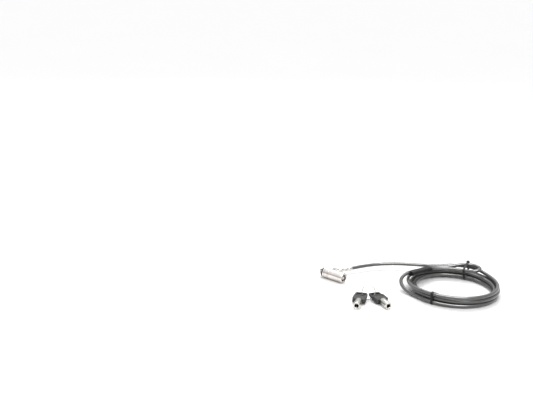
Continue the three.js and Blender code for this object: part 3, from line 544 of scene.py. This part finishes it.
def coil_point(sweep, hand_wound=True):
    """A point of the coil. A hand-wound coil wavers a little, and settles between its ties."""
    azimuth = COIL_START - sweep
    radius, height = coil_radius(sweep), coil_height(sweep)
    if hand_wound:
        fade_in = 40
        ease = min(1, sweep / fade_in, (SWEEP - sweep) / fade_in) * slack(azimuth)
        radius += SIDE_WAVER * ease * math.sin(math.radians(3.1 * sweep + 25))
        height += ease * (HEIGHT_WAVER * math.sin(math.radians(2.3 * sweep + 80)) - SETTLING)
    return around_coil(radius, azimuth, height)


PIVOT = Vector((13.4, 12.8, 0))
TERMINAL_TURN = math.radians(68)
TERMINAL_LENGTH = 24.4
END_RUN = 2 * CABLE_RADIUS  # of each stretch, straight on from what it meets
INSIDE_TERMINAL = 1.5
terminal_away = Vector((math.cos(TERMINAL_TURN), math.sin(TERMINAL_TURN), 0))
cable_exit = PIVOT + terminal_away * (TERMINAL_LENGTH + SEAT_GAP)

coil_first = coil_point(0, False)
coil_last = coil_point(SWEEP, False)
end_sweep = math.degrees(END_RUN / OUTER_TURN)
into_coil = (coil_point(end_sweep, False) - coil_first).normalized()
out_of_coil = (coil_last - coil_point(SWEEP - end_sweep, False)).normalized()

SLEEVE_START = around_coil(OUTER_TURN - 1.85, 206.32, 9.9)
SLEEVE_END = around_coil(OUTER_TURN - 7.54, 160.03, 6.9)
sleeve_along = (SLEEVE_END - SLEEVE_START).normalized()
sleeve_across = Vector((-sleeve_along.y, sleeve_along.x, 0)).normalized()
STRAND_SPACING = 4.9  # of the two strands in the sleeve
INSIDE_SLEEVE = 12
SLEEVE_DEAD_END = 1.6  # from the sleeve's start to the cable's own end, inside the sleeve
COIL_STEPS, STEPS_BETWEEN_POINTS = 700, 12
RING_SPACING, CABLE_SIDES = 1.6, 16


def strand_at(end, side, away):
    """A point on one of the sleeve's two strands, so far along from an end of the sleeve."""
    return end + sleeve_across * (side * STRAND_SPACING / 2) + sleeve_along * away


# shares of the way from the terminal to the coil: ahead, to the left, up
LEAD_COURSE = (
    (0.0808, 0.0443, 0.015),
    (0.174, 0.0865, 0.031),
    (0.2915, 0.1187, 0.061),
    (0.4317, 0.1291, 0.123),
    (0.5692, 0.1134, 0.2),
    (0.6997, 0.0797, 0.31),
    (0.8181, 0.0444, 0.52),
    (0.9215, 0.0198, 0.78),
)
lead_start = cable_exit + terminal_away * END_RUN
lead_end = coil_first - into_coil * (END_RUN + SEAT_GAP)
way = lead_end - lead_start
lead_route = [
    PIVOT + terminal_away * (TERMINAL_LENGTH - INSIDE_TERMINAL),
    cable_exit,
    lead_start,
    *(
        lead_start + Vector((ahead * way.x - aside * way.y, ahead * way.y + aside * way.x, rise * way.z))
        for ahead, aside, rise in LEAD_COURSE
    ),
    lead_end,
    coil_first - into_coil * SEAT_GAP,
]
# millimetres out from the outer turn, azimuth, height
TAIL_COURSE = (
    (1.5, 242.4, -3.4),
    (3.9, 235.6, -2.7),
    (6.7, 229.4, -1.1),
    (8.9, 223.7, 1.5),
    (9.3, 218.6, 4.6),
    (7.2, 213.8, 7.7),
)
tail_route = [
    coil_last + out_of_coil * SEAT_GAP,
    coil_last + out_of_coil * (END_RUN + SEAT_GAP),
    *(around_coil(OUTER_TURN + out, azimuth, height) for out, azimuth, height in TAIL_COURSE),
    strand_at(SLEEVE_START, 1, -END_RUN - SEAT_GAP),
    strand_at(SLEEVE_START, 1, -SEAT_GAP),
    strand_at(SLEEVE_START, 1, INSIDE_SLEEVE),
]
# millimetres out from the outer turn, azimuth, millimetres up from the top run
EYE_COURSE = (
    (-4.6, 144, 0),
    (-4.8, 134, 0.2),
    (-4.5, 124, 1.1),
    (-3.1, 115, 2.9),
    (-0.7, 107, 4.5),
    (1.1, 100, 5),
    (1.7, 93, 5),
    (0.4, 86, 4.8),
    (-3.2, 80.5, 4.5),
    (-7.9, 79.5, 3.9),
    (-11.7, 83, 2.9),
    (-12.9, 90, 1.7),
    (-12.3, 98, 0.7),
    (-11.3, 107, 0.2),
    (-10.5, 117, 0),
    (-9.9, 128, 0),
    (-9.5, 137, 0),
    (-9.4, 146, 0),
)
eye_route = [
    strand_at(SLEEVE_END, 1, -INSIDE_SLEEVE),
    strand_at(SLEEVE_END, 1, SEAT_GAP),
    strand_at(SLEEVE_END, 1, END_RUN + SEAT_GAP),
    *(around_coil(OUTER_TURN + out, azimuth, TOP_Z + rise) for out, azimuth, rise in EYE_COURSE),
    strand_at(SLEEVE_END, -1, END_RUN + SEAT_GAP),
    strand_at(SLEEVE_END, -1, SEAT_GAP),
    strand_at(SLEEVE_START, -1, SLEEVE_DEAD_END),
]
coil_line = [coil_point(SWEEP * i / COIL_STEPS) for i in range(COIL_STEPS + 1)]
free_lines = [through(route, STEPS_BETWEEN_POINTS) for route in (lead_route, tail_route, eye_route)]
whole_line = [*free_lines[0], *coil_line, *free_lines[1], *free_lines[2]]
cable_line, cable_distances = evenly(whole_line, RING_SPACING)
cable_line = relaxed(cable_line, 3)

rings = [[p * MM for p in ring] for ring in tube_rings(cable_line, CABLE_RADIUS, CABLE_SIDES)]
ring_distances = [cable_distances[0]] * 2 + cable_distances + [cable_distances[-1]] * 2
cable = loft("coated_cable", rings, along=[d * MM for d in ring_distances])
dress(cable, "cable", "cable_jacket", ["cable_lead", "cable_coil", "cable_tail", "cable_eye"])

# ---------------------------------------------------------------- sleeve over the crimp


def crimp_sleeve():
    """A shrunk sleeve over two strands and two pressed ferrules. Its section dips between the strands."""
    half_width, half_height = 4.95, 2.8
    full, snug, rim = 0.95, 0.91, 0.86  # shares of the section: along the sleeve, at its lips, inside them
    lip, mouth_depth = 0.25, 0.9
    flare_length, ferrule_reach, dip_width = 3.5, 5.2, 1.5
    length = (SLEEVE_END - SLEEVE_START).length
    ferrule_places = (0.29 * length, 0.71 * length)
    rise = sleeve_along.cross(sleeve_across)
    straight = half_width - half_height
    sides = 40
    section = []
    for k in range(sides):
        turn = TAU * k / sides
        u = math.cos(turn) * half_height + math.copysign(straight, math.cos(turn))
        section.append((u, math.sin(turn) * half_height))
    mouth = [(mouth_depth, rim - 0.02, 0.0), (0.0, rim, 0.0), (-lip, snug, 0.0), (0.1, full, 0.0)]
    stations = list(mouth)
    steps = 46
    for i in range(steps + 1):
        x = 0.4 + (length - 0.8) * i / steps
        ends = min(1, x / flare_length, (length - x) / flare_length)
        ferrules = max(math.exp(-(((x - c) / ferrule_reach) ** 4)) for c in ferrule_places)
        grow = full + 0.025 * ends + 0.025 * ferrules * ends
        stations.append((x, grow, 0.16 * (1 - 0.75 * ferrules * ends)))
    stations += [(length - x, grow, dip) for x, grow, dip in reversed(mouth)]
    made = []
    for x, grow, dip in stations:
        ring = []
        for u, v in section:
            height = v * grow * (1 - dip * math.exp(-((u / dip_width) ** 2)))
            ring.append((SLEEVE_START + sleeve_along * x + sleeve_across * (u * grow) + rise * height) * MM)
        made.append(ring)
    return loft("crimp_sleeve", made, along=[x * MM for x, _, _ in stations])


sleeve = dress(crimp_sleeve(), "cable", "sleeve_plastic", ["eye_sleeve"])

# ---------------------------------------------------------------- ties

TIE_HEAD_ANGLES = {"tie_front": 146, "tie_rear": 58}


def crossings(points, azimuth, aside_by):
    """Where the line crosses the upright plane at an azimuth, moved aside, as (reach, height) pairs."""
    turn = math.radians(azimuth)
    outward = Vector((math.cos(turn), math.sin(turn), 0))
    local = []
    for point in points:
        arm = point - COIL_CENTRE
        local.append((arm.dot(outward), arm.cross(outward).z - aside_by, point.z))
    found = []
    for (reach0, aside0, z0), (reach1, aside1, z1) in zip(local, local[1:]):
        if aside0 * aside1 > 0 or reach0 < 0 or aside0 == aside1:
            continue
        share = aside0 / (aside0 - aside1)
        found.append((reach0 + share * (reach1 - reach0), z0 + share * (z1 - z0)))
    return found


def cable_tie(name):
    """A strap pulled tight round the strands, its locking head, and the notched end of its tail."""
    azimuth = TIE_AZIMUTHS[name]
    half, thick = TIE_WIDTH / 2, TIE_THICKNESS
    strap_gap = 0.22
    head_height, head_length, head_width = 1.6, 3.4, 4.2
    strands = [s for aside in (-half, 0, half) for s in crossings(cable_line, azimuth, aside)]

    def edge(angle, offset):
        normal = Vector((math.cos(angle), math.sin(angle)))
        furthest = max((Vector(s) for s in strands), key=lambda s: s.dot(normal))
        return furthest + normal * offset

    cosine, sine = math.cos(math.radians(azimuth)), math.sin(math.radians(azimuth))
    axes = Matrix(((cosine, 0, sine, 0), (sine, 0, -cosine, 0), (0, 1, 0, 0), (0, 0, 0, 1)))
    place = Matrix.Translation(COIL_CENTRE * MM) @ axes
    inside = CABLE_RADIUS + strap_gap
    flat, low, high = half - 0.2, 0.12, thick - 0.12
    section = [(0, -flat), (0, flat), (low, half), (high, half)]
    section += [(thick, flat), (thick, -flat), (high, -half), (low, -half)]
    rings = []
    for i in range(96):
        angle = TAU * i / 96
        rings.append([place @ mm((*edge(angle, inside + out), aside)) for out, aside in section])
    strap = loft(name + "_strap", rings, wrap=True)

    angle = math.radians(TIE_HEAD_ANGLES[name])
    seat = edge(angle, inside + thick / 2)
    normal = Vector((math.cos(angle), math.sin(angle), 0))
    tangent = Vector((-math.sin(angle), math.cos(angle), 0))
    at_seat = Matrix.Translation(mm((*seat, 0))) @ Matrix((normal, tangent, (0, 0, 1))).transposed().to_4x4()
    at_seat = place @ at_seat

    def on_head(size, out, along):
        """A block on the head, so far out from the strap and along it."""
        return size, at_seat @ Matrix.Translation(mm((out, along, 0)))

    head = block(name + "_head", *on_head((head_height, head_length, head_width), head_height / 2, 0), 0.4)
    carve(head, block("tool", *on_head((1.0, 0.95, 2.9), head_height, 0.85), 0.05, 1))
    carve(head, block("tool", *on_head((0.6, 1.1, 1.9), head_height + 0.1, -0.75), 0.05, 1))
    tail_low, tail_high, tail_step, notch = 0.6, 1.1, 0.2, 0.12
    rings = []
    for i in range(9):
        x = 0.6 + tail_step * i
        wide = half - 0.25 * max(0, i - 6)
        low = tail_low + notch * (i % 2)
        bend = 0.02 * (x - 1) ** 2
        corners = [(low, -wide), (low, wide), (tail_high - 0.1, wide), (tail_high, wide - 0.2)]
        corners += [(tail_high, 0.2 - wide), (tail_high - 0.1, -wide)]
        rings.append([at_seat @ mm((x, y + bend, z)) for y, z in corners])
    tail = loft(name + "_tail", rings, smooth_below=20)
    whole = carve(carve(strap, head, "UNION"), tail, "UNION")
    return dress(whole, "cable", "tie_plastic", [name])


ties = [cable_tie(name) for name in TIE_AZIMUTHS]

# ---------------------------------------------------------------- cable terminal


def terminal_fitting():
    """A flat tongue with the pivot hole, then a ferrule pressed onto the cable by two six-sided crimps."""
    place = Matrix.Translation(PIVOT * MM) @ Matrix.Rotation(TERMINAL_TURN, 4, "Z")
    ferrule_radius, crimp_flat, crimp_fade = 2.9, 2.55, 0.45
    crimp_length, crimp_starts = 3.2, (10.96, 17.1)
    shoulder = [(5.2, 1.3), (5.45, 1.75), (5.9, 2.25), (6.4, 2.62), (7.0, 2.83), (7.8, ferrule_radius)]
    barrel_start, barrel_steps, barrel_step = 8.4, 78, 0.2
    mouth_bore, mouth_depth = 2.33, 2.0
    end = TERMINAL_LENGTH
    mouth = [(end - 0.3, 2.86), (end - 0.1, 2.74), (end, 2.6), (end, 2.42), (end - 0.15, mouth_bore)]
    stations = [
        *shoulder,
        *((barrel_start + barrel_step * i, ferrule_radius) for i in range(barrel_steps + 1)),
        *mouth,
        (end - mouth_depth, mouth_bore),
    ]
    sides = 60
    rings = []
    for x, radius in stations:
        depths = (min(x - start, start + crimp_length - x) / crimp_fade for start in crimp_starts)
        pressed = max(min(1, max(0, depth)) for depth in depths)
        ring = []
        for k in range(sides):
            turn = TAU * k / sides
            flat = crimp_flat / math.cos((turn + math.pi / 6) % (math.pi / 3) - math.pi / 6)
            reach = radius - pressed * max(0, radius - flat)
            ring.append(place @ mm((x, reach * math.cos(turn), reach * math.sin(turn))))
        rings.append(ring)
    ferrule = loft("terminal_fitting", rings, smooth_below=30)

    half_width, half_thickness, round_end = 2.6, 1.2, 6.9

    def half_round(x, facing, steps):
        """A half circle of the tongue's width, with its middle at x."""
        turns = (math.pi * i / steps for i in range(steps + 1))
        return [(x + facing * half_width * math.sin(t), -facing * half_width * math.cos(t)) for t in turns]

    outline = [*half_round(0, -1, 24), *half_round(round_end, 1, 12)]
    tongue = extruded("tongue", outline, -half_thickness, half_thickness, place, 0.25)
    carve(ferrule, tongue, "UNION")
    hole_radius, hole_reach = 1.2, 3
    profile = [(-hole_reach, 0), (-hole_reach, hole_radius), (hole_reach, hole_radius), (hole_reach, 0)]
    hole = turned("tool", profile, place @ Matrix.Rotation(math.pi / 2, 4, "Y"), 48, 0.01)
    return carve(ferrule, hole)


dress(terminal_fitting(), "cable", "nickel", ["cable_terminal"])

# ---------------------------------------------------------------- keys and split ring

RING_CENTRE = Vector((88.9, -20.0, 0))
RING_TURN = math.radians(44)
SHANK_RADIUS, SHANK_LENGTH = 4.2, 15
KEY_BORE_RADIUS, KEY_BORE_DEPTH = 2.4, 11
KEY_Z = DESK_Z + SHANK_RADIUS
KEY_SIDE_GAP = 3  # between the two heads, on the line through their slots
KEY_HALF_WIDTH, SLOT_MIDDLE, HEAD_LENGTH = 7.2, 5.0, 24
# the side of the ring that each key lies on, its heading in degrees, and its body
KEYS = {"key_1": (-1, -62.6, "cable"), "key_2": (1, -29, "second_key")}


def key_place(name):
    """The place of a key: its origin is the middle of its head's rear edge, and +X points to its tip."""
    side, heading, _ = KEYS[name]
    turn = math.radians(heading)
    ahead = Vector((math.cos(turn), math.sin(turn), 0))
    leftward = Vector((-ahead.y, ahead.x, 0))
    ring_along = Vector((math.cos(RING_TURN), math.sin(RING_TURN), 0))
    corner = RING_CENTRE + ring_along * (side * KEY_SIDE_GAP / 2) - ahead * SLOT_MIDDLE
    rear = corner + leftward * (side * KEY_HALF_WIDTH) + Vector((0, 0, KEY_Z))
    return Matrix.Translation(rear * MM) @ Matrix.Rotation(turn, 4, "Z")


def key_shank(name):
    """A tube with a rounded rim, its bore painted near-black as shade, and two lugs near the tip."""
    place = key_place(name)
    rear = HEAD_LENGTH + SEAT_GAP
    tip = rear + SHANK_LENGTH
    outside = [(rear, 0), (rear, SHANK_RADIUS), (tip, SHANK_RADIUS)]
    bore_end = tip - KEY_BORE_DEPTH
    bore = [(tip, KEY_BORE_RADIUS), (bore_end, KEY_BORE_RADIUS), (bore_end, 0)]
    tube = turned(name + "_tube", [*outside, *bore], place, radius=0.42)
    tang_size, tang_reach = (8.9, 6.0, 2.2), 8
    tang_middle = rear + tang_size[0] / 2 - tang_reach
    tang = block("tool", tang_size, place @ Matrix.Translation(mm((tang_middle, 0, 0))), 0.2, 2)
    carve(tube, tang, "UNION")
    lug_size, lug_setback = (1.6, 1.2, 1.0), 1.2
    for reach in (SHANK_RADIUS, KEY_BORE_RADIUS):
        lug = block("tool", lug_size, place @ Matrix.Translation(mm((tip - lug_setback, 0, reach))), 0.12, 2)
        carve(tube, lug, "UNION")
    tube.data.materials.clear()
    tube.data.materials.append(finishes["nickel"])
    tube.data.materials.append(finishes["painted_bore_shade"])
    back = place.inverted()
    # faces inside the bore take the near-black finish, as painted shade
    for face in tube.data.polygons:
        centre = back @ face.center / MM
        if bore_end - 1 < centre.x < tip - 0.5 and math.hypot(centre.y, centre.z) < KEY_BORE_RADIUS + 0.1:
            face.material_index = 1
    return dress(tube, KEYS[name][2], "nickel", [name + "_shank"])


for key in KEYS:
    key_shank(key)


def split_ring():
    """Two close turns of round wire, leaning in the slots of the two heads."""
    radius, wire, turns, width, lean_degrees = 7.75, 0.45, 2, 1.94, 14
    half_foot = 6.3  # from the middle to where the ring passes through each slot
    centre_height = math.sqrt(radius**2 - half_foot**2)
    lean = Matrix.Rotation(RING_TURN, 4, "Z") @ Matrix.Rotation(-math.radians(lean_degrees), 4, "X")
    line = []
    steps = 144
    for i in range(steps + 1):
        share = i / steps
        turn = turns * TAU * share + math.pi / 2
        aside = (share - 0.5) * width
        line.append(Vector((radius * math.cos(turn), aside, radius * math.sin(turn) + centre_height)))
    rings = tube_rings(line, wire, 12, 0.12)
    centre = RING_CENTRE + Vector((0, 0, KEY_Z))
    return loft("wire_ring", [[(centre + lean @ p) * MM for p in ring] for ring in rings])


dress(split_ring(), "ring", "nickel", ["split_ring"])

# ---------------------------------------------------------------- springs behind the driver pins

PIN_NUMBERS = range(1, 8)


def pin_spring(number):
    """Round wire in whole curls, as long as its solid and round its driver pin's axis."""
    name = f"pin_spring_{number}"
    wire, curl_radius, curls, steps_per_curl = 0.14, 0.48, 4, 24
    low, high = (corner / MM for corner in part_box(name))
    pin_low, pin_high = (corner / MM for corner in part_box(f"driver_pin_{number}"))
    axis = (pin_low + pin_high) / 2
    rear, front = low.x + wire, high.x - wire
    steps = curls * steps_per_curl
    line = []
    for i in range(steps + 1):
        turn = TAU * i / steps_per_curl
        x = rear + (front - rear) * i / steps
        line.append(Vector((x, axis.y + curl_radius * math.cos(turn), axis.z + curl_radius * math.sin(turn))))
    rings = tube_rings(line, wire, 10, 0.05)
    spring = loft(f"spring_wire_{number}", [[p * MM for p in ring] for ring in rings])
    dress(spring, "lock_head", "steel", [name], "spring_steel")
    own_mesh(spring)


for number in PIN_NUMBERS:
    pin_spring(number)

# ---------------------------------------------------------------- CAD nodes that stay

NODE_FINISHES = {
    "chrome": ["barrel", "face_ring", "swivel_collar"],
    "steel": ["locking_bar", "drive_pin", "anti_twist_plate", "retaining_pin", "rotor", "pivot_pin"]
    + [f"key_pin_{i}" for i in PIN_NUMBERS],
    "brass": ["pin_sleeve"] + [f"driver_pin_{i}" for i in PIN_NUMBERS],
    "washer_rubber": ["nose_washer"],
    "key_plastic": ["key_1_head", "key_2_head"],
}
# bevel widths in millimetres, where a piece's edges are softer than PLAIN_EDGE
PLAIN_EDGE = 0.08
EDGES = {"key_1_head": 0.45, "key_2_head": 0.45, "barrel": 0.18, "swivel_collar": 0.3, "nose_washer": 0.25}


def keep_node(name, finish):
    """A CAD node with its own shape, softened edges and a full material."""
    node = nodes[name]
    mesh = node.data
    mesh.materials.clear()
    mesh.materials.append(finishes[finish])
    mesh.polygons.foreach_set("use_smooth", [True] * len(mesh.polygons))
    if "custom_normal" in mesh.attributes:
        mesh.attributes.remove(mesh.attributes["custom_normal"])
    weld = node.modifiers.new("weld", "WELD")
    weld.merge_threshold = 1e-6
    flat = node.modifiers.new("flat", "DECIMATE")
    flat.decimate_type = "DISSOLVE"
    flat.angle_limit = math.radians(0.6)
    edges = node.modifiers.new("edges", "BEVEL")
    edges.width = EDGES.get(name, PLAIN_EDGE) * MM
    edges.segments = 2
    edges.limit_method = "ANGLE"
    edges.angle_limit = math.radians(32)
    normals = node.modifiers.new("normals", "WEIGHTED_NORMAL")
    normals.keep_sharp = False
    normals.weight = 90


for finish, names in NODE_FINISHES.items():
    for name in names:
        keep_node(name, finish)

# ---------------------------------------------------------------- floor, light and world

half = 15.0  # metres
floor_gap = 0.05  # keeps the floor clear of what rests on it
floor_finish = Finish("pale_floor", (0.90, 0.90, 0.90), 0.55)
floor_cloud = floor_finish.noise(3.0, 2.0)
floor_finish.drive("Roughness", floor_finish.spread(floor_cloud, 0.3, 0.7, 0.5, 0.6))
floor = mesh_object(
    "floor",
    [(-half, -half, 0), (half, -half, 0), (half, half, 0), (-half, half, 0)],
    [(0, 1, 2, 3)],
)
floor.location.z = (DESK_Z - floor_gap) * MM
floor.data.materials.append(floor_finish.material)


def area_light(name, place, target, size, energy, gloss_only=False):
    data = bpy.data.lights.new(name, "AREA")
    data.shape = "RECTANGLE"
    data.size, data.size_y = size
    data.energy = energy
    light = bpy.data.objects.new(name, data)
    light.visible_diffuse = not gloss_only
    light.location = place
    light.rotation_euler = (Vector(target) - Vector(place)).to_track_quat("-Z", "Y").to_euler()
    bpy.context.scene.collection.objects.link(light)


centre = (0.11, 0.04, 0.0)
area_light("key_light", (-0.42, 0.62, 1.05), centre, (0.9, 0.6), 9)
area_light("fill_light", (0.85, -0.25, 1.0), centre, (0.6, 0.6), 2.5)
# a wide box overhead that only gives glossy surfaces their long highlight
area_light("gloss_box", (0.42, -0.44, 1.32), (0.147, 0.07, 0.0), (1.5, 0.5), 46, gloss_only=True)

# a white tent: brightest overhead, dimmer towards the horizon
HORIZON, OVERHEAD = 0.45, 1.46
world = bpy.data.worlds.new("studio")
world.use_nodes = True
tree = world.node_tree
direction = tree.nodes.new("ShaderNodeTexCoord").outputs["Generated"]
height = tree.nodes.new("ShaderNodeSeparateXYZ")
brightness = tree.nodes.new("ShaderNodeMapRange")
brightness.inputs["From Min"].default_value = 0.0
brightness.inputs["From Max"].default_value = 1.0
brightness.inputs["To Min"].default_value = HORIZON
brightness.inputs["To Max"].default_value = OVERHEAD
background = tree.nodes["Background"]
background.inputs["Color"].default_value = (1, 1, 1, 1)
tree.links.new(direction, height.inputs[0])
tree.links.new(height.outputs["Z"], brightness.inputs["Value"])
tree.links.new(brightness.outputs["Result"], background.inputs["Strength"])
bpy.context.scene.world = world
bpy.context.scene.view_settings.view_transform = "Standard"
